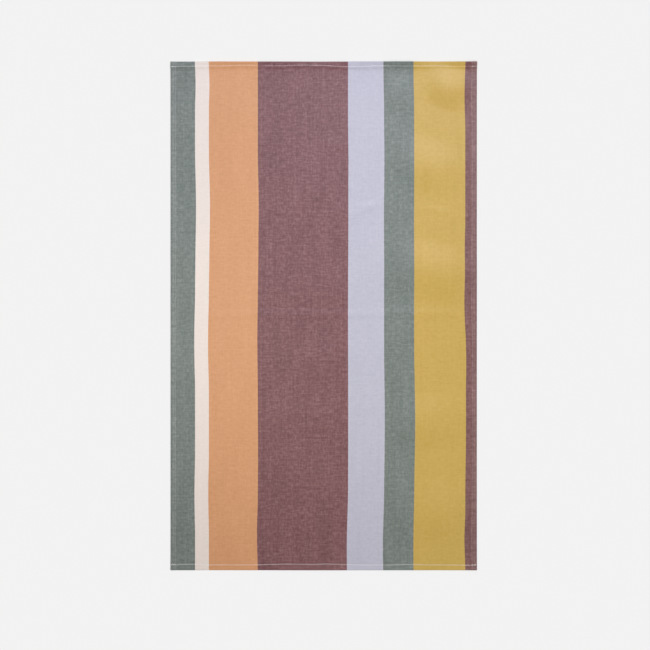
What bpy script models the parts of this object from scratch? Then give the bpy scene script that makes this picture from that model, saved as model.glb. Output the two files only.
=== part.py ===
"""A woven tea towel with long block stripes, lying flat and face up.

Metres, +Z up. X runs across the towel and Y along it. The origin is the middle of its underside, on
the surface it lies on.

It is one length of cloth: an open panel, a tucked selvedge down each long side, and a hem turned
under twice at each short end. So its solid is one ply thick in the panel, a little more at the
selvedges and three plies at the hems, and it lifts off the surface only at its pressed folds.
"""

import math
from collections import namedtuple

import bmesh
import bpy

# Driving dimensions.
WIDTH = 0.450
LENGTH = 0.7475
SELVEDGE_WIDTH = 0.007
TOP_HEM_WIDTH = 0.009
BOTTOM_HEM_WIDTH = 0.0115

# Runs over which the cloth comes down to the panel's thickness from a hem and from a selvedge.
HEM_RUN = 0.010
SELVEDGE_RUN = 0.003

# Thicknesses of the solid. The cloth itself is thinner, and lies a little open between its plies.
PANEL_THICKNESS = 0.0010
SELVEDGE_THICKNESS = 0.0012
HEM_THICKNESS = 0.0020

# Spacing of the columns and rows of faces in the open panel.
PITCH = 0.010

# Folds that a press left in the cloth, as low ridges: the middle of each crest, the turn of the crest
# from X in degrees, the ridge's half length and half width, and its height.
Fold = namedtuple("Fold", "name x y turn half_length half_width height")
FOLDS = (
    Fold("mid fold", 0.000, 0.002, 0, 0.300, 0.008, 0.0008),
    Fold("top right", 0.183, 0.338, -15, 0.040, 0.024, 0.0008),
    Fold("upper right", 0.162, 0.216, -24, 0.055, 0.026, 0.0006),
    Fold("right of the middle", 0.160, 0.062, -28, 0.060, 0.030, 0.0011),
    Fold("lower right", 0.168, -0.149, -12, 0.050, 0.030, 0.0006),
)
MID_FOLD = FOLDS[0]

# Warp stripes from the left edge (-X) to the right, each with its width in millimetres and colour.
Stripe = namedtuple("Stripe", "name width_mm colour")
STRIPES = (
    Stripe("sage", 36.0, "7E8481"),
    Stripe("cream", 20.3, "F3E6DE"),
    Stripe("apricot", 72.0, "DDA47A"),
    Stripe("plum", 132.5, "8A666A"),
    Stripe("lavender", 53.0, "C5C4D3"),
    Stripe("sage", 44.2, "7E8481"),
    Stripe("mustard", 75.1, "CDAE64"),
    Stripe("plum", 16.9, "8A666A"),
)
COTTON_ROUGHNESS = 0.9


def empty_scene():
    """Remove every object, so that only the towel is left."""
    for obj in list(bpy.data.objects):
        bpy.data.objects.remove(obj, do_unlink=True)


def linear_rgba(hex_colour):
    """The linear colour of an sRGB hex value."""
    channels = [int(hex_colour[i : i + 2], 16) / 255 for i in (0, 2, 4)]
    linear = [c / 12.92 if c <= 0.04045 else ((c + 0.055) / 1.055) ** 2.4 for c in channels]
    return (*linear, 1.0)


def stations(marks):
    """The marks in order, with even steps of at most a pitch between each two."""
    marks = sorted(marks)
    places = [marks[0]]
    for start, end in zip(marks, marks[1:]):
        steps = math.ceil((end - start) / PITCH)
        places += [start + (end - start) * step / steps for step in range(1, steps + 1)]
    return places


def column_places():
    """X of each column: the edges, and where each selvedge starts to come down and ends."""
    marks = []
    for side in (-1, 1):
        for inset in (0.0, SELVEDGE_WIDTH, SELVEDGE_WIDTH + SELVEDGE_RUN):
            marks.append(side * (WIDTH / 2 - inset))
    return stations(marks)


def row_places():
    """Y of each row: the ends, where each hem comes down, and the crest and flanks of the mid fold."""
    marks = [MID_FOLD.y + MID_FOLD.half_width * share for share in (-1.0, -0.5, 0.0, 0.5, 1.0)]
    for side, hem_width in ((-1, BOTTOM_HEM_WIDTH), (1, TOP_HEM_WIDTH)):
        for inset in (0.0, hem_width, hem_width + HEM_RUN):
            marks.append(side * (LENGTH / 2 - inset))
    return stations(marks)


def bump(ratio):
    """A soft hump: 1 in the middle, 0 from a ratio of 1 outwards, level at both."""
    return (1 - ratio * ratio) ** 2 if abs(ratio) < 1 else 0.0


def lift(x, y):
    """Height of the cloth's underside over the surface: the sum of the folds' ridges."""
    height = 0.0
    for fold in FOLDS:
        turn = math.radians(fold.turn)
        along = (x - fold.x) * math.cos(turn) + (y - fold.y) * math.sin(turn)
        across = (y - fold.y) * math.cos(turn) - (x - fold.x) * math.sin(turn)
        height += fold.height * bump(along / fold.half_length) * bump(across / fold.half_width)
    return height


def band_to_panel(inset, band_width, band_thickness, run):
    """Thickness at an inset from an edge that has a thicker band along it."""
    past = min(max((inset - band_width) / run, 0.0), 1.0)
    return band_thickness + (PANEL_THICKNESS - band_thickness) * past


def thickness(x, y):
    """Thickness of the solid: the most of what the panel, the selvedges and the hems have there."""
    return max(
        band_to_panel(WIDTH / 2 - abs(x), SELVEDGE_WIDTH, SELVEDGE_THICKNESS, SELVEDGE_RUN),
        band_to_panel(LENGTH / 2 - y, TOP_HEM_WIDTH, HEM_THICKNESS, HEM_RUN),
        band_to_panel(LENGTH / 2 + y, BOTTOM_HEM_WIDTH, HEM_THICKNESS, HEM_RUN),
    )


def cloth_mesh(columns, rows):
    """The cloth: its underside is a grid with columns and rows moved to their places and its folds
    lifted, and its face is the same grid, extruded and raised by the thickness at each point."""
    mesh = bpy.data.meshes.new("towel")
    bm = bmesh.new()
    last_column = len(columns) - 1
    last_row = len(rows) - 1
    bmesh.ops.create_grid(bm, x_segments=last_column, y_segments=last_row, size=0.5)
    for vert in bm.verts:
        x = columns[round((vert.co.x + 0.5) * last_column)]
        y = rows[round((vert.co.y + 0.5) * last_row)]
        vert.co = (x, y, lift(x, y))
    extruded = bmesh.ops.extrude_face_region(bm, geom=bm.faces[:])
    for vert in extruded["geom"]:
        if isinstance(vert, bmesh.types.BMVert):
            vert.co.z += thickness(vert.co.x, vert.co.y)
    bmesh.ops.recalc_face_normals(bm, faces=bm.faces[:])
    bm.to_mesh(mesh)
    bm.free()
    return mesh


def striped_cotton():
    """Matt yarn-dyed cotton: one colour for each warp stripe, picked by X across the cloth."""
    material = bpy.data.materials.new("striped_cotton")
    material.use_nodes = True
    nodes = material.node_tree.nodes
    links = material.node_tree.links
    surface = nodes["Principled BSDF"]
    surface.inputs["Metallic"].default_value = 0.0
    surface.inputs["Roughness"].default_value = COTTON_ROUGHNESS

    place = nodes.new("ShaderNodeTexCoord")
    axes = nodes.new("ShaderNodeSeparateXYZ")
    across = nodes.new("ShaderNodeMapRange")
    across.inputs["From Min"].default_value = -WIDTH / 2
    across.inputs["From Max"].default_value = WIDTH / 2
    stripes = nodes.new("ShaderNodeValToRGB")
    stripes.color_ramp.interpolation = "CONSTANT"
    elements = stripes.color_ramp.elements
    elements.remove(elements[1])
    elements[0].color = linear_rgba(STRIPES[0].colour)
    start_mm = STRIPES[0].width_mm
    for stripe in STRIPES[1:]:
        elements.new(start_mm / 1000 / WIDTH).color = linear_rgba(stripe.colour)
        start_mm += stripe.width_mm

    links.new(place.outputs["Object"], axes.inputs[0])
    links.new(axes.outputs["X"], across.inputs["Value"])
    links.new(across.outputs["Result"], stripes.inputs["Fac"])
    links.new(stripes.outputs["Color"], surface.inputs["Base Color"])
    return material


def make_towel():
    """The towel as one object, in a collection named for it."""
    collection = bpy.data.collections.new("tea towel")
    bpy.context.scene.collection.children.link(collection)
    towel = bpy.data.objects.new("towel", cloth_mesh(column_places(), row_places()))
    collection.objects.link(towel)
    towel.data.materials.append(striped_cotton())
    towel.data.shade_smooth()
    return towel


empty_scene()
make_towel()
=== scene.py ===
"""The looks of a striped cotton tea towel that lies flat, face up.

Metres, +Z up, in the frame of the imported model: X runs across the towel, from its sage edge to its
narrow plum edge, Y runs along it, and it lies on the surface Z = 0.

The towel is one length of thin cloth. Its rows of points follow the warp from the raw edge hidden in the
bottom hem, over the panel, to the raw edge hidden in the top hem. Its columns stand side by side across
the weft.
"""

import math
from collections import namedtuple

import bpy
import numpy as np
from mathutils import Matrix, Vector


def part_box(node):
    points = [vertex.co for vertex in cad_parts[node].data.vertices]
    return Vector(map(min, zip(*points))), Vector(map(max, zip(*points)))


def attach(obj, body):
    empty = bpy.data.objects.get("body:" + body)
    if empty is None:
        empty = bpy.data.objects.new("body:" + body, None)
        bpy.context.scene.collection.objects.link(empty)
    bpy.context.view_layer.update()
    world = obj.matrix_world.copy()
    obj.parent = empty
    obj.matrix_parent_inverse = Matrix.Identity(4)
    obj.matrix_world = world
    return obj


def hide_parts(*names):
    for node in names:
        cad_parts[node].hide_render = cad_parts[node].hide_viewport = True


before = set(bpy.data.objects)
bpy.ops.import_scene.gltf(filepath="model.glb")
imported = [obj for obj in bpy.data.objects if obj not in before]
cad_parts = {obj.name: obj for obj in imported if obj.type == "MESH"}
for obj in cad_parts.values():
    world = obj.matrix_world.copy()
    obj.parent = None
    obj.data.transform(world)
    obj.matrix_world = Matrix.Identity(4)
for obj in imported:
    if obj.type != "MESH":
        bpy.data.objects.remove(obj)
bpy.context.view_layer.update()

TOWEL_LOW, TOWEL_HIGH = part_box("towel")
WIDTH = TOWEL_HIGH.x - TOWEL_LOW.x
LENGTH = TOWEL_HIGH.y - TOWEL_LOW.y
MM = 0.001

# How thick the cloth is, how thick and how wide its tucked selvedges are, and the run over which they thin
# to the panel.
CLOTH_THICKNESS = 0.45 * MM
TUCK_THICKNESS = 0.60 * MM
TUCK_WIDTH = 7.0 * MM
TUCK_RUN = 1.0 * MM

# Spacing of the grid's points: over the panel, over the mid fold, over a hem and the run beside it where
# the cloth comes down to the panel, and over a selvedge and a run beside it. Then the number of points
# round the turns of a hem's plies, at its end and inside it.
PANEL_STEP = 3.4 * MM
FOLD_STEP = 1.3 * MM
HEM_STEP = 0.8 * MM
HEM_RUN = 13 * MM
SELVEDGE_STEP = 1.2 * MM
SELVEDGE_RUN = 2 * MM
OUTER_TURN_STATIONS = 9
INNER_TURN_STATIONS = 7

# What a hem is like at places across the towel: how far in its stitches run and how much its outer edge
# curls up from them, in millimetres, how high its plies stand, as a share of what's usual, and how far its
# stitches have sunk into the face, in radii of the thread.
Across = namedtuple("Across", "x stitches curl plies sunk")
TOP_ACROSS = (
    Across(-225, 7.5, 0.0, 1.1, 0.0),
    Across(-195, 7.0, 0.1, 1.1, 0.0),
    Across(-178, 6.5, 1.0, 1.0, 0.0),
    Across(-158, 6.4, 1.4, 1.0, 0.3),
    Across(-115, 5.2, 1.4, 0.9, 0.7),
    Across(-72, 6.3, 1.0, 0.9, 1.1),
    Across(-28, 5.3, 0.5, 0.9, 0.2),
    Across(-8, 5.6, 0.2, 0.9, 0.0),
    Across(28, 7.1, 0.7, 0.9, 0.5),
    Across(48, 7.1, 1.3, 1.2, 0.0),
    Across(85, 6.1, 1.7, 1.3, 0.6),
    Across(105, 6.1, 2.4, 1.5, 1.2),
    Across(125, 6.2, 2.2, 1.5, 1.4),
    Across(148, 6.3, 1.1, 0.9, 0.2),
    Across(165, 6.4, 0.8, 0.6, 0.0),
    Across(190, 6.5, 1.9, 0.8, 0.9),
    Across(225, 6.7, 2.3, 1.4, 1.1),
)
BOTTOM_ACROSS = (
    Across(-225, 8.2, 0.4, 1.0, 0.0),
    Across(-197, 8.8, 0.4, 1.0, 0.4),
    Across(-160, 7.9, 0.1, 1.0, 0.1),
    Across(-115, 7.9, 0.2, 1.0, 0.0),
    Across(-85, 8.5, 0.1, 1.0, 0.5),
    Across(-55, 9.1, 0.6, 1.0, 0.8),
    Across(-20, 8.8, 0.9, 1.0, 0.8),
    Across(12, 9.3, 0.9, 1.0, 0.7),
    Across(30, 8.4, 0.9, 1.0, 0.7),
    Across(60, 7.8, 0.6, 1.0, 0.1),
    Across(98, 7.9, 0.6, 1.0, 0.9),
    Across(122, 8.5, 0.7, 1.0, 0.5),
    Across(160, 7.9, 0.2, 1.0, 0.6),
    Across(225, 7.6, 0.9, 1.0, 0.2),
)

# A hem: which end it is at, its width, the usual spacing of its plies from the middle of one to the middle
# of the next, how much its stitches pinch it, how thick its thread is, and how far in one end of a stitch
# lies from the other. Past the stitches the cloth comes down by a share at a step and by the rest in a
# long tail: the step's share, and how far past the stitches each is half way down. Lengths are in
# millimetres.
Hem = namedtuple("Hem", "name end width ply_pitch pinch thread slant step_share step tail across")
TOP_HEM = Hem("top", 1, 9.0, 0.80, 0.15, 0.29, 0.4, 0.55, 3.0, 9.0, TOP_ACROSS)
BOTTOM_HEM = Hem("bottom", -1, 11.5, 0.48, 0.05, 0.50, 1.7, 0.00, 3.0, 20.0, BOTTOM_ACROSS)

# The power of the distance out from its stitches with which a hem's edge curls up, and how far the curl
# draws the hem's end in.
CURL_POWER = 1.15
DRAWN_IN = 0.15 * MM

# The narrow trough that stitches pinch in a hem: the level they draw the plies towards, in ply pitches
# above the panel's, and half its width.
PINCHED_PLIES = 0.85
PINCH_HALF_WIDTH = 0.9 * MM

# Lockstitches: their length and the gap between two, how far they stray from even spacing, as a share of
# their length, and from their line, the seed of that, and how far from the towel's sides a row stops.
STITCH_LENGTH = 2.7 * MM
STITCH_GAP = 0.12 * MM
SPACING_STRAY = 0.06
LINE_STRAY_MM = 0.05
STRAY_SEED = 7
SEAM_MARGIN = 1.0 * MM

# Where a seam is locked at both ends of a row: the length of it, and how far in its second line lies.
LOCKED_END = 7.0 * MM
LOCKED_SHIFT = 0.5 * MM

# How far the middle of a stitch stands out of the face and of the back, where less than nothing is sunk in,
# and how far its ends sink in, in radii of the thread. Then a stitch's stations and the thread's sides.
FACE_STANDS = 0.4
BACK_STANDS = -1.0
ENDS_SINK = 0.8
STITCH_STATIONS = 7
THREAD_SIDES = 6

# Creases a press left, in millimetres and degrees: the middle of each crest, the turn of the crest from
# X, its half length and half width, and its height.
Crease = namedtuple("Crease", "name x y turn half_length half_width height")
CREASES = (
    Crease("mid fold", 0, 2, 0.65, 330, 10, 0.45),
    Crease("top right", 183, 336, -22, 43, 34, 4.20),
    Crease("top of the right sage", 112, 326, -6, 34, 34, 1.30),
    Crease("upper right", 152, 220, -22, 66, 45, 3.20),
    Crease("right of the middle", 158, 66, -14, 78, 48, 3.90),
    Crease("lower right", 150, -156, 6, 80, 48, 3.20),
    Crease("low right", 162, -285, -6, 66, 55, 2.00),
    Crease("slant in lavender", 63, 159, 20, 34, 9, 0.60),
    Crease("under the slant", 30, 149, 4, 34, 20, 0.50),
    Crease("slant in mustard", 168, 155, -18, 32, 7, 0.35),
    Crease("upper plum", 14, 252, 0, 28, 19, 0.50),
    Crease("above the middle", -5, 40, 0, 90, 46, 0.60),
    Crease("below the middle", -10, -65, 2, 110, 40, 0.80),
    Crease("lower plum", -25, -153, 3, 70, 36, 0.60),
    Crease("low plum", -20, -248, -2, 60, 30, 0.45),
    Crease("left edge, upper", -207, 94, 5, 24, 27, 0.50),
    Crease("left edge, middle", -207, 16, 0, 24, 24, 0.45),
)
MID_FOLD = CREASES[0]

# Long low swells where the cloth doesn't lie quite down: wave lengths along X and Y in millimetres with
# the wave's start in turns, and its height.
Swell = namedtuple("Swell", "along_x along_y start height")
SWELLS = (
    Swell(310, 190, 0.10, 0.10),
    Swell(-170, 260, 0.35, 0.09),
    Swell(95, 150, 0.60, 0.05),
    Swell(-120, 83, 0.85, 0.04),
)

# Where the warp wanders sideways between straight edges, in millimetres: the middle of each stretch, its
# half reach each way, and the shift there, + to the right.
Wander = namedtuple("Wander", "x y reach_x reach_y shift")
WANDERS = (
    Wander(-150, 158, 150, 85, 1.6),
    Wander(-130, 82, 110, 45, 0.7),
    Wander(-165, -38, 130, 75, -1.3),
    Wander(-175, 338, 60, 35, 0.8),
    Wander(30, 160, 90, 150, 0.5),
    Wander(65, 238, 60, 45, 0.5),
    Wander(90, 140, 60, 60, -0.4),
    Wander(150, -155, 150, 115, 1.4),
    Wander(205, 325, 50, 50, -1.2),
    Wander(208, 95, 40, 45, -0.8),
    Wander(208, 25, 45, 60, -1.3),
    Wander(208, -62, 42, 60, 1.2),
    Wander(50, -345, 190, 90, -1.9),
    Wander(-95, -318, 60, 55, -1.0),
    Wander(208, -328, 40, 40, -1.1),
    Wander(110, 370, 80, 70, -1.2),
    Wander(-175, -262, 70, 60, -1.0),
    Wander(-80, -200, 80, 60, 0.4),
)

# How near an edge the warp wanders less, down to nothing at the edge.
EDGE_HOLD = 12 * MM

# Warp stripes from the left edge (-X) to the right: width in millimetres, the colour of the yarn, and how
# many times over the grain changes the share of weft that shows between its yarns and its shade. The yarn's
# colours were computed, so that each stripe's mean colour comes near the photograph's under these lights.
Stripe = namedtuple("Stripe", "name width_mm yarn flecks uneven")
STRIPES = (
    Stripe("sage", 36.0, "#616C66", 1.10, 6.0),
    Stripe("cream", 20.3, "#E1D4CB", 1.50, 1.5),
    Stripe("apricot", 72.0, "#CA8C58", 0.45, 2.9),
    Stripe("plum", 132.5, "#6A3339", 0.70, 11.8),
    Stripe("lavender", 53.0, "#B1B0BF", 0.90, 2.5),
    Stripe("sage", 44.2, "#616C66", 1.10, 6.0),
    Stripe("mustard", 75.1, "#BD9930", 0.35, 2.6),
    Stripe("narrow plum", 16.9, "#6A3635", 0.65, 11.0),
)

# The undyed weft: its colour, and how much of it peeps out between the warp yarns in the panel and how
# much more in a tucked selvedge, where it lies double.
WEFT_YARN = "#E7DFDD"
WEFT_SHOWS = 0.04
TUCK_SHOWS = 0.03

# Lines of tucked weft ends down the selvedges: the place of each from the left edge and how much more
# weft shows in it, half their width, and the spacing of the ends.
TuckLine = namedtuple("TuckLine", "place shows")
TUCK_LINES = (
    TuckLine(4.2 * MM, 0.13),
    TuckLine(7.2 * MM, 0.20),
    TuckLine(WIDTH - 6.9 * MM, 0.15),
    TuckLine(WIDTH - 3.4 * MM, 0.05),
)
TUCK_LINE_HALF_WIDTH = 0.5 * MM
TUCK_END_SPACING = 1.8 * MM

# Unevenness of the yarn, as noise: its grain across and along the warp in millimetres, and how much it
# changes the share of weft that shows and the shade, before the stripes' own multiples.
Grain = namedtuple("Grain", "name across_mm along_mm weft shade")
GRAINS = (
    Grain("slubs along the weft", 10.0, 2.5, 0.102, 0.036),
    Grain("slubs along the warp", 2.6, 6.0, 0.100, 0.035),
    Grain("streaks across", 80.0, 3.4, 0.026, 0.013),
    Grain("streaks down", 4.2, 110.0, 0.044, 0.016),
    Grain("loose and tight patches", 24.0, 60.0, 0.020, 0.016),
)

# The weave: the spacing of its yarns, how far they stand out, and how much more weft shows on a crown of
# it. Yarns are really about 0.4 mm apart. They're drawn a little coarser, so that a baked picture holds
# them.
YARN_SPACING = 0.6 * MM
YARN_RELIEF = 0.025 * MM
YARN_SHOWS = 0.06

# The thread: its colour, the length in which it twists round once, and how many plies it has and how far
# they stand out.
THREAD_COLOUR = "#FAF7F3"
TWIST_LENGTH = 0.7 * MM
TWIST_PLIES = 2
TWIST_RELIEF = 0.02 * MM

# The floor: its colour, half its side in metres, and how far it's lowered to keep it clear of the cloth.
FLOOR_COLOUR = "#E6E6E6"
FLOOR_HALF = 15.0
FLOOR_DROP = 0.05 * MM

# Softboxes, each square and aimed at the middle of the towel. They're well up, so that their light doesn't
# glance off the cloth. The first is a little warm, and the one beyond the top a little cool. Their places,
# strengths and tints weren't set by hand. They're rounded from a computed fit to the shading of the
# photographed towel.
Softbox = namedtuple("Softbox", "name place size radiance colour")
SOFTBOXES = (
    Softbox("lower middle", (-0.01, -0.27, 0.50), 0.30, 1.27, "#FFE7CE"),
    Softbox("left", (-0.235, -0.03, 0.50), 0.30, 2.16, "#FCFFF2"),
    Softbox("upper right", (0.135, 0.30, 0.50), 0.30, 1.37, "#FFFFFF"),
    Softbox("lower right", (0.395, -0.335, 0.50), 0.30, 2.04, "#F4FFEC"),
    Softbox("beyond the top", (0.36, 1.57, 2.20), 0.30, 197.2, "#F3F4FF"),
)

# The even light from all round, the floor's own light and its breadth in degrees, and the colour behind
# everything.
AMBIENT = 0.20
FLOOR_LIGHT = 0.925
FLOOR_LIGHT_BREADTH = 60
BACKDROP_COLOUR = "#F2F2F2"

# The photograph: its size, its scale, and where the middle of the towel is in it. Then the camera's lens
# and the width of its sensor.
PHOTO_SIZE_PX = 650
PX_PER_METRE = 680.4
TOWEL_MIDDLE_PX = (323.67, 315.91)
LENS_MM = 85
SENSOR_MM = 36


# Shape of the cloth.


def hump(ratio):
    """A soft hump, (1 - ratio squared) squared: 1 in the middle, level there and at a ratio of 1."""
    return np.clip(1 - ratio**2, 0, None) ** 2


def eased(x, places, values):
    """A line through values at places, with a level smoothstep from each value to the next."""
    places = np.asarray(places, float)
    values = np.asarray(values, float)
    step = np.clip(np.searchsorted(places, x, side="right") - 1, 0, len(places) - 2)
    share = np.clip((x - places[step]) / (places[step + 1] - places[step]), 0, 1)
    return values[step] + (values[step + 1] - values[step]) * share**2 * (3 - 2 * share)


def lift(x, y):
    """Height of the cloth over where it would lie pressed flat: the sum of its creases, each a hump along
    its crest times a hump across it, and of its swells, each a raised cosine over a slanting line."""
    height = np.zeros(np.broadcast(x, y).shape)
    for crease in CREASES:
        turn = math.radians(crease.turn)
        from_x = x / MM - crease.x
        from_y = y / MM - crease.y
        along = from_x * math.cos(turn) + from_y * math.sin(turn)
        across = from_y * math.cos(turn) - from_x * math.sin(turn)
        height += crease.height * hump(along / crease.half_length) * hump(across / crease.half_width)
    for swell in SWELLS:
        phase = x / MM / swell.along_x + y / MM / swell.along_y + swell.start
        height += swell.height * (1 + np.cos(2 * math.pi * phase)) / 2
    return height * MM


def warp_place(x, y):
    """Which warp yarn lies at a point, as its distance from the left edge: X less the warp's wandering,
    a sum of humps that dies away at both edges."""
    shift = np.zeros(np.broadcast(x, y).shape)
    for wander in WANDERS:
        shift += (
            wander.shift
            * hump((x / MM - wander.x) / wander.reach_x)
            * hump((y / MM - wander.y) / wander.reach_y)
        )
    hold = np.clip((WIDTH / 2 - np.abs(x)) / EDGE_HOLD, 0, 1)
    return x + WIDTH / 2 - shift * MM * hold


def across_hem(hem, x):
    """How far in a hem's stitches run, how much its edge curls up, its ply pitch, and how far its stitches
    have sunk, across the towel."""
    rows = np.array(hem.across)
    stitches, curl, plies, sunk = (eased(x / MM, rows[:, 0], values) for values in rows[:, 1:].T)
    return stitches * MM, curl * MM, plies * hem.ply_pitch * MM, sunk


def hem_height(hem, x, inset, plies):
    """Height, over the panel's level, of a point that has so many plies under it in the hem.

    Plies lie a pitch apart from the end to the stitches. Past them all come down together: a share of
    their height as 1 / (1 + (distance past the stitches / step) to the 4th), and the rest as
    1 / (1 + (distance / tail) squared). The stitches pinch them over a narrow bell curve, and from the
    stitches out the edge curls up, as a power of the distance."""
    stitches, curl, pitch, _ = across_hem(hem, x)
    past = inset - stitches
    distance = np.clip(past, 0, None) / MM
    step = hem.step_share / (1 + (distance / hem.step) ** 4)
    tail = (1 - hem.step_share) / (1 + (distance / hem.tail) ** 2)
    plies = plies * (step + tail)
    plies += (PINCHED_PLIES - plies) * hem.pinch * np.exp(-((past / PINCH_HALF_WIDTH) ** 2))
    curled = np.clip(-past / stitches, 0, 1) ** CURL_POWER
    return plies * pitch + curl * curled


def cloth_thickness(x):
    """Thickness of the cloth, which is more at the tucked selvedges."""
    share = np.clip((WIDTH / 2 - np.abs(x) - TUCK_WIDTH) / TUCK_RUN, 0, 1)
    return TUCK_THICKNESS + (CLOTH_THICKNESS - TUCK_THICKNESS) * share


def hem_section(hem):
    """The hem in section, from the panel beside it to the raw edge, as insets from the end and plies under
    each point: the face ply runs out to the end, a half circle turns it under, the back ply runs in, a
    tighter half circle turns it up at the hem's inner edge, and the middle ply runs back out."""
    width = hem.width * MM
    pitch = hem.ply_pitch * MM
    outer_turn = DRAWN_IN + pitch + CLOTH_THICKNESS / 2
    inner_turn = width - (pitch + CLOTH_THICKNESS) / 2

    face = np.linspace(width + HEM_RUN, outer_turn, round((width + HEM_RUN - outer_turn) / HEM_STEP))
    outer = np.radians(np.linspace(90, 270, OUTER_TURN_STATIONS)[1:])
    back = np.linspace(outer_turn, inner_turn, round((inner_turn - outer_turn) / HEM_STEP))[1:]
    inner = np.radians(np.linspace(-90, 90, INNER_TURN_STATIONS)[1:])
    middle = np.linspace(inner_turn, outer_turn + pitch / 2, len(back))[1:]

    insets = (
        face,
        outer_turn + pitch * np.cos(outer),
        back,
        inner_turn + pitch / 2 * np.cos(inner),
        middle,
    )
    plies = (
        np.full(face.shape, 2.0),
        1 + np.sin(outer),
        np.zeros(back.shape),
        (1 + np.sin(inner)) / 2,
        np.ones(middle.shape),
    )
    return np.concatenate(insets)[:, None], np.concatenate(plies)[:, None]


def stations(marks, steps):
    """Places from the first mark to the last, evenly spaced between each two by about that stretch's step."""
    places = [np.array(marks[:1])]
    for start, end, step in zip(marks, marks[1:], steps):
        places.append(np.linspace(start, end, max(1, math.ceil((end - start) / step)) + 1)[1:])
    return np.concatenate(places)


def cloth_grid():
    """Points of the cloth as arrays of rows along the warp by columns across it, with the warp yarn's
    place and the length along the warp at each point."""
    side = WIDTH / 2
    tuck = side - TUCK_WIDTH - SELVEDGE_RUN
    x = stations((-side, -tuck, tuck, side), (SELVEDGE_STEP, PANEL_STEP, SELVEDGE_STEP))[None, :]

    panel_start = -LENGTH / 2 + BOTTOM_HEM.width * MM + HEM_RUN
    panel_end = LENGTH / 2 - TOP_HEM.width * MM - HEM_RUN
    fold_start = (MID_FOLD.y - MID_FOLD.half_width) * MM
    fold_end = (MID_FOLD.y + MID_FOLD.half_width) * MM
    marks = (panel_start, fold_start, fold_end, panel_end)
    panel_y = stations(marks, (PANEL_STEP, FOLD_STEP, PANEL_STEP))[1:-1, None]
    panel_height = (
        hem_height(BOTTOM_HEM, x, LENGTH / 2 + panel_y, 2)
        + hem_height(TOP_HEM, x, LENGTH / 2 - panel_y, 2)
    )

    bottom_inset, bottom_plies = hem_section(BOTTOM_HEM)
    top_inset, top_plies = hem_section(TOP_HEM)
    y = np.concatenate((bottom_inset[::-1] - LENGTH / 2, panel_y, LENGTH / 2 - top_inset))
    height = np.concatenate((
        hem_height(BOTTOM_HEM, x, bottom_inset, bottom_plies)[::-1],
        panel_height,
        hem_height(TOP_HEM, x, top_inset, top_plies),
    ))
    x, y = np.broadcast_arrays(x, y)
    points = np.stack((x, y, cloth_thickness(x) / 2 + height + lift(x, y)), axis=-1)

    # The length along the warp is measured down the middle column.
    middle = points[:, points.shape[1] // 2]
    lengths = np.linalg.norm(np.diff(middle, axis=0), axis=1)
    along = np.concatenate(([0.0], np.cumsum(lengths)))
    along = np.broadcast_to(along[:, None], y.shape)
    return points, warp_place(x, y), along


def grid_faces(rows, columns):
    """The four points of each face of a grid kept row by row, anticlockwise as seen from above."""
    corner = np.arange(rows - 1)[:, None] * columns + np.arange(columns - 1)
    return corner.reshape(-1, 1) + np.array([0, 1, columns + 1, columns])


def mesh_object(name, points, faces, uv_name, uv):
    """A smooth object in the scene from points, faces, and a UV map given at each point."""
    mesh = bpy.data.meshes.new(name)
    mesh.from_pydata(points.reshape(-1, 3), [], faces)
    corners = np.empty(len(mesh.loops), int)
    mesh.loops.foreach_get("vertex_index", corners)
    mesh.uv_layers.new(name=uv_name).uv.foreach_set("vector", uv.reshape(-1, 2)[corners].ravel())
    mesh.shade_smooth()
    mesh.validate()
    obj = bpy.data.objects.new(name, mesh)
    bpy.context.scene.collection.objects.link(obj)
    return obj


def make_cloth():
    """The cloth as one sheet with a thickness, more at the tucked selvedges than elsewhere."""
    # The UV map is the warp yarn's place and the length along it, in metres.
    points, warp, along = cloth_grid()
    rows, columns = warp.shape
    uv = np.stack((warp, along), axis=-1)
    cloth = mesh_object("towel_cloth", points, grid_faces(rows, columns), "cloth", uv)

    # Each point's weight is its thickness as a share of the greatest.
    thickness = cloth_thickness(points[0, :, 0])
    group = cloth.vertex_groups.new(name="thickness")
    for column in range(columns):
        in_column = (np.arange(rows) * columns + column).tolist()
        group.add(in_column, thickness[column] / TUCK_THICKNESS, "REPLACE")
    solidify = cloth.modifiers.new("thickness", "SOLIDIFY")
    solidify.thickness = TUCK_THICKNESS
    solidify.offset = 0
    solidify.vertex_group = "thickness"
    return cloth, float(along[-1, 0])


# Hem stitching.


def stitch_row(start, end, inset_shift, rng):
    """Where the stitches of one row start and end across the towel, and their shift in from the hem's
    stitch line: each is about a stitch long, with a short gap to the next."""
    count = round((end - start) / STITCH_LENGTH)
    pitch = (end - start) / count
    strays = rng.uniform(-SPACING_STRAY, SPACING_STRAY, count)
    starts = start + pitch * np.arange(count) + strays * pitch
    lengths = np.full(count, pitch - STITCH_GAP)
    insets = inset_shift + rng.uniform(-LINE_STRAY_MM, LINE_STRAY_MM, count) * MM
    return starts, starts + lengths, insets


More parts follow.
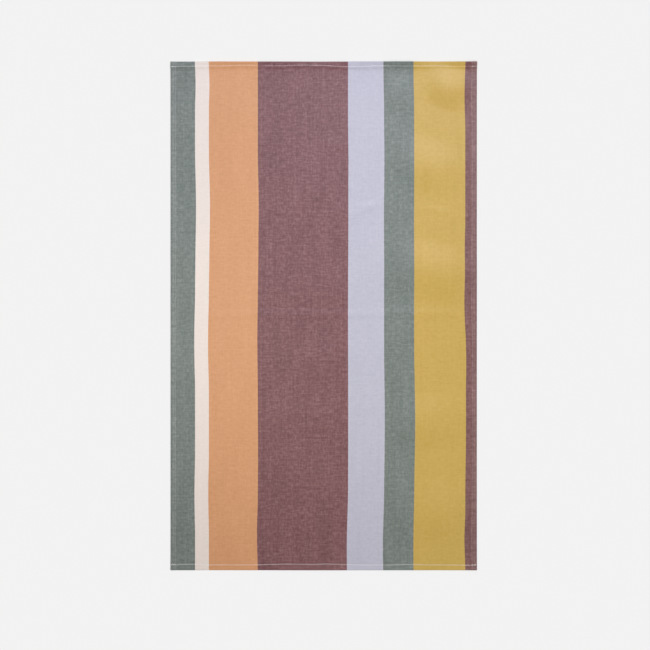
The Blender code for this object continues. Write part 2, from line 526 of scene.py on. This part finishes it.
def stitch_tubes(hem, rows, face_side):
    """Points of the stitches on one side of a hem, as stitches by stations by sides. Each is a thread bent
    in a low arch, the root of a half sine: its middle stands on the cloth and its ends dive into it."""
    starts, ends, shifts = (np.concatenate(values)[:, None] for values in zip(*rows))
    share = np.linspace(0, 1, STITCH_STATIONS)
    x = starts + (ends - starts) * share
    stitches, _, _, sunk = across_hem(hem, x)
    inset = stitches + shifts + hem.slant * MM * (share - 0.5)
    y = hem.end * (LENGTH / 2 - inset)

    thickness = cloth_thickness(x)
    cloth_middle = thickness / 2 + hem_height(hem, x, inset, 2 if face_side else 0) + lift(x, y)
    side = 1 if face_side else -1
    stands = FACE_STANDS - sunk if face_side else BACK_STANDS
    radius = hem.thread / 2 * MM
    out = -ENDS_SINK + (stands + ENDS_SINK) * np.sqrt(np.sin(math.pi * share))
    z = cloth_middle + side * (thickness / 2 + radius * out)

    turn = np.linspace(0, 2 * math.pi, THREAD_SIDES, endpoint=False)
    points = np.empty((*x.shape, THREAD_SIDES, 3))
    points[..., 0] = x[..., None]
    points[..., 1] = y[..., None] + radius * np.cos(turn)
    points[..., 2] = z[..., None] + radius * np.sin(turn)
    return points


def make_stitching(hem, rng):
    """Both sides of one hem's lockstitches as one mesh, doubled at its ends where the seam is locked."""
    side = WIDTH / 2 - SEAM_MARGIN
    rows = [stitch_row(-side, side, 0.0, rng)]
    for start in (-side, side - LOCKED_END):
        rows.append(stitch_row(start, start + LOCKED_END, LOCKED_SHIFT, rng))
    tubes = np.concatenate((stitch_tubes(hem, rows, True), stitch_tubes(hem, rows, False)))

    # Walls join each ring of points to the next one, and a cap closes each end.
    count, stations_each, sides, _ = tubes.shape
    first = np.arange(count * stations_each).reshape(count, stations_each) * sides
    turn = np.arange(sides)
    turned = (turn + 1) % sides
    ring = first[:, :-1, None]
    walls = np.stack((ring + turn, ring + turned, ring + sides + turned, ring + sides + turn), axis=-1)
    start_caps = first[:, 0, None] + turn[::-1]
    end_caps = first[:, -1, None] + turn
    faces = walls.reshape(-1, 4).tolist() + start_caps.tolist() + end_caps.tolist()

    # The UV map is the length along a stitch and the share of a turn round its thread.
    length = tubes[..., 0] - tubes[:, :1, :, 0]
    around = np.broadcast_to(turn / sides, length.shape)
    uv = np.stack((length, around), axis=-1)
    return mesh_object(f"hem_stitching_{hem.name}", tubes, faces, "thread", uv)


# Materials.


def linear(hex_colour):
    """The linear colour of an sRGB hex value."""
    channels = [int(hex_colour[i : i + 2], 16) / 255 for i in (1, 3, 5)]
    decoded = [c / 12.92 if c <= 0.04045 else ((c + 0.055) / 1.055) ** 2.4 for c in channels]
    return (*decoded, 1.0)


# Kinds of node that are used often, and the places of the share, the two colours and the result among the
# sockets of a Mix node.
MATH = "ShaderNodeMath"
VECTOR_MATH = "ShaderNodeVectorMath"
MIX = "ShaderNodeMix"
MIX_SHARE = 0
MIX_FIRST = 6
MIX_SECOND = 7
MIX_RESULT = 2


def node(tree, kind, inputs=(), output=0, **settings):
    """Adds a node with its settings, fills its inputs, and gives one of its outputs, if it has any. Inputs
    come in order or by name: a socket is linked, and anything else is set."""
    added = tree.nodes.new(kind)
    for name, value in settings.items():
        setattr(added, name, value)
    named = inputs if isinstance(inputs, dict) else dict(enumerate(inputs))
    for key, value in named.items():
        if isinstance(value, bpy.types.NodeSocket):
            tree.links.new(value, added.inputs[key])
        else:
            added.inputs[key].default_value = value
    return added.outputs[output] if len(added.outputs) else None


def new_material(name):
    """An empty material, with its node tree."""
    material = bpy.data.materials.new(name)
    material.use_nodes = True
    material.node_tree.nodes.clear()
    return material, material.node_tree


def yarn_dyed_cotton():
    """Yarn-dyed plain-weave cotton, warp-faced and pressed. Coloured warp yarns make the stripes, and one
    undyed weft peeps out between them as pale flecks, so dark stripes look heathered and pale ones even.
    Pressing leaves a faint, broad gloss on it."""
    material, tree = new_material("yarn_dyed_plain_weave_cotton")
    place = node(tree, "ShaderNodeUVMap", output="UV", uv_map="cloth")
    warp_at = node(tree, "ShaderNodeSeparateXYZ", (place,), output="X")
    weft_at = warp_at.node.outputs["Y"]

    # Warp stripes: a hard change of colour from one yarn to the next. A colour ramp would round its
    # stops to 1.8 mm here, so each change is a comparison.
    stripes = linear(STRIPES[0].yarn)
    flecks = STRIPES[0].flecks
    uneven = STRIPES[0].uneven
    start_mm = 0
    for before, stripe in zip(STRIPES, STRIPES[1:]):
        start_mm += before.width_mm
        past = node(tree, MATH, (warp_at, start_mm * MM), operation="GREATER_THAN")
        sockets = {MIX_SHARE: past, MIX_FIRST: stripes, MIX_SECOND: linear(stripe.yarn)}
        stripes = node(tree, MIX, sockets, output=MIX_RESULT, data_type="RGBA")
        flecks = node(tree, MATH, (past, stripe.flecks - before.flecks, flecks), operation="MULTIPLY_ADD")
        uneven = node(tree, MATH, (past, stripe.uneven - before.uneven, uneven), operation="MULTIPLY_ADD")

    # Weave: crowns of warp and of weft by turns, as the product of a sine across and a sine along. The
    # weft is on top where it's below zero.
    across = node(tree, MATH, (warp_at, math.pi / YARN_SPACING), operation="MULTIPLY")
    across = node(tree, MATH, (across,), operation="SINE")
    along = node(tree, MATH, (weft_at, math.pi / YARN_SPACING), operation="MULTIPLY")
    along = node(tree, MATH, (along,), operation="SINE")
    weave = node(tree, MATH, (across, along), operation="MULTIPLY")

    # The share of weft that shows, and the shade. The noise is one half on average.
    weft = -sum(grain.weft for grain in GRAINS) / 2
    shade = -sum(grain.shade for grain in GRAINS) / 2
    for grain in GRAINS:
        scale = (1 / (grain.across_mm * MM), 1 / (grain.along_mm * MM), 1)
        drawn_out = node(tree, VECTOR_MATH, (place, scale), operation="MULTIPLY")
        sockets = {"Vector": drawn_out, "Scale": 1.0, "Detail": 1.0, "Roughness": 0.5}
        noise = node(tree, "ShaderNodeTexNoise", sockets, noise_dimensions="2D")
        weft = node(tree, MATH, (noise, grain.weft, weft), operation="MULTIPLY_ADD")
        shade = node(tree, MATH, (noise, grain.shade, shade), operation="MULTIPLY_ADD")
    weft = node(tree, MATH, (weave, -YARN_SHOWS, weft), operation="MULTIPLY_ADD")
    weft = node(tree, MATH, (weft, flecks, WEFT_SHOWS), operation="MULTIPLY_ADD")

    # Selvedges: more weft at both sides of the panel, and dotted lines of its tucked ends.
    in_panel = node(tree, MATH, (warp_at, WIDTH / 2, WIDTH / 2 - TUCK_WIDTH), operation="COMPARE")
    in_tuck = node(tree, MATH, (1.0, in_panel), operation="SUBTRACT")
    weft = node(tree, MATH, (in_tuck, TUCK_SHOWS, weft), operation="MULTIPLY_ADD")
    ends = node(tree, MATH, (weft_at, 2 * math.pi / TUCK_END_SPACING), operation="MULTIPLY")
    ends = node(tree, MATH, (ends,), operation="SINE")
    ends = node(tree, MATH, (ends, 0.5, 0.5), operation="MULTIPLY_ADD")
    for line in TUCK_LINES:
        on_line = node(tree, MATH, (warp_at, line.place, TUCK_LINE_HALF_WIDTH), operation="COMPARE")
        shows = node(tree, MATH, (on_line, line.shows), operation="MULTIPLY")
        weft = node(tree, MATH, (shows, ends, weft), operation="MULTIPLY_ADD")

    # Both yarns together, lighter and darker with the shade.
    weft = node(tree, "ShaderNodeClamp", (weft,))
    sockets = {MIX_SHARE: weft, MIX_FIRST: stripes, MIX_SECOND: linear(WEFT_YARN)}
    yarns = node(tree, MIX, sockets, output=MIX_RESULT, data_type="RGBA")
    brightness = node(tree, MATH, (shade, uneven, 1.0), operation="MULTIPLY_ADD")
    colour = node(tree, VECTOR_MATH, {0: yarns, "Scale": brightness}, operation="SCALE")

    relief = node(tree, MATH, (weave,), operation="ABSOLUTE")
    bump = node(tree, "ShaderNodeBump", {"Height": relief, "Distance": YARN_RELIEF})
    sockets = {
        "Base Color": colour,
        "Normal": bump,
        "Roughness": 0.55,
        "Specular IOR Level": 0.69,
        "Sheen Weight": 0.05,
    }
    surface = node(tree, "ShaderNodeBsdfPrincipled", sockets)
    node(tree, "ShaderNodeOutputMaterial", (surface,))
    return material


def sewing_thread():
    """Spun polyester sewing thread, nearly white: matt, with the slanting ridges of its twist."""
    material, tree = new_material("spun_polyester_thread")
    place = node(tree, "ShaderNodeUVMap", output="UV", uv_map="thread")
    length = node(tree, "ShaderNodeSeparateXYZ", (place,), output="X")
    around = length.node.outputs["Y"]
    turns = node(tree, MATH, (length, 1 / TWIST_LENGTH, around), operation="MULTIPLY_ADD")
    turns = node(tree, MATH, (turns, 2 * math.pi * TWIST_PLIES), operation="MULTIPLY")
    ridges = node(tree, MATH, (turns,), operation="SINE")
    bump = node(tree, "ShaderNodeBump", {"Height": ridges, "Distance": TWIST_RELIEF})
    sockets = {"Base Color": linear(THREAD_COLOUR), "Normal": bump, "Roughness": 0.6}
    surface = node(tree, "ShaderNodeBsdfPrincipled", sockets)
    node(tree, "ShaderNodeOutputMaterial", (surface,))
    return material


def painted_floor():
    """Matt white paint, even and without a grain that shows."""
    material, tree = new_material("matt_white_paint")
    surface = node(tree, "ShaderNodeBsdfDiffuse", {"Color": linear(FLOOR_COLOUR)})
    node(tree, "ShaderNodeOutputMaterial", (surface,))
    return material


# Studio.


def make_floor():
    """A plain floor, just under the cloth."""
    points = np.array([(-1, -1, 0), (1, -1, 0), (1, 1, 0), (-1, 1, 0)], float) * FLOOR_HALF
    points[:, 2] = -FLOOR_DROP
    floor = mesh_object("floor", points, [[0, 1, 2, 3]], "flat", points[:, :2] / FLOOR_HALF)
    floor.data.materials.append(painted_floor())
    return floor


def make_camera():
    """A camera straight above the towel, at the height that gives the photograph's scale."""
    height = PHOTO_SIZE_PX / PX_PER_METRE * LENS_MM / SENSOR_MM
    camera = bpy.data.objects.new("camera", bpy.data.cameras.new("camera"))
    camera.data.lens = LENS_MM
    camera.data.sensor_width = SENSOR_MM
    camera.location = (
        (PHOTO_SIZE_PX / 2 - TOWEL_MIDDLE_PX[0]) / PX_PER_METRE,
        (TOWEL_MIDDLE_PX[1] - PHOTO_SIZE_PX / 2) / PX_PER_METRE,
        height + CLOTH_THICKNESS,
    )
    bpy.context.scene.collection.objects.link(camera)
    bpy.context.scene.camera = camera


def receivers(name, objects):
    """A collection of what a light reaches."""
    collection = bpy.data.collections.new(name)
    for obj in objects:
        collection.objects.link(obj)
    return collection


def make_softbox(softbox, lit):
    """A square area light that the camera doesn't see, aimed at the middle of the towel."""
    data = bpy.data.lights.new(softbox.name, "AREA")
    data.size = softbox.size
    data.color = linear(softbox.colour)[:3]
    data.energy = softbox.radiance * math.pi * softbox.size**2
    light = bpy.data.objects.new(softbox.name, data)
    light.location = softbox.place
    light.rotation_euler = (-Vector(softbox.place)).to_track_quat("-Z", "Y").to_euler()
    light.visible_camera = False
    light.light_linking.receiver_collection = lit
    bpy.context.scene.collection.objects.link(light)


def make_lights(floor, pieces):
    """Softboxes over the towel, a broad sun that lights only the floor, and a pale backdrop all round."""
    lit = receivers("lit towel", pieces)
    for softbox in SOFTBOXES:
        make_softbox(softbox, lit)

    sun = bpy.data.lights.new("floor light", "SUN")
    sun.angle = math.radians(FLOOR_LIGHT_BREADTH)
    sun.energy = math.pi * FLOOR_LIGHT
    sun_object = bpy.data.objects.new("floor light", sun)
    sun_object.light_linking.receiver_collection = receivers("lit floor", [floor])
    bpy.context.scene.collection.objects.link(sun_object)

    world = bpy.data.worlds.new("studio")
    world.use_nodes = True
    tree = world.node_tree
    tree.nodes.clear()
    seen = node(tree, "ShaderNodeLightPath", output="Is Camera Ray")
    ambient = node(tree, "ShaderNodeBackground", ((1, 1, 1, 1), AMBIENT))
    backdrop = node(tree, "ShaderNodeBackground", (linear(BACKDROP_COLOUR), 1.0))
    both = node(tree, "ShaderNodeMixShader", (seen, ambient, backdrop))
    node(tree, "ShaderNodeOutputWorld", (both,))
    bpy.context.scene.world = world
    bpy.context.scene.view_settings.view_transform = "Standard"


make_camera()
rng = np.random.default_rng(STRAY_SEED)
cloth, cut_length = make_cloth()
cloth.data.materials.append(yarn_dyed_cotton())
stitching = [make_stitching(hem, rng) for hem in (TOP_HEM, BOTTOM_HEM)]
thread = sewing_thread()
for seam in stitching:
    seam.data.materials.append(thread)
for piece in (cloth, *stitching):
    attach(piece, "root")
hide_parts("towel")

floor = make_floor()
make_lights(floor, (cloth, *stitching))
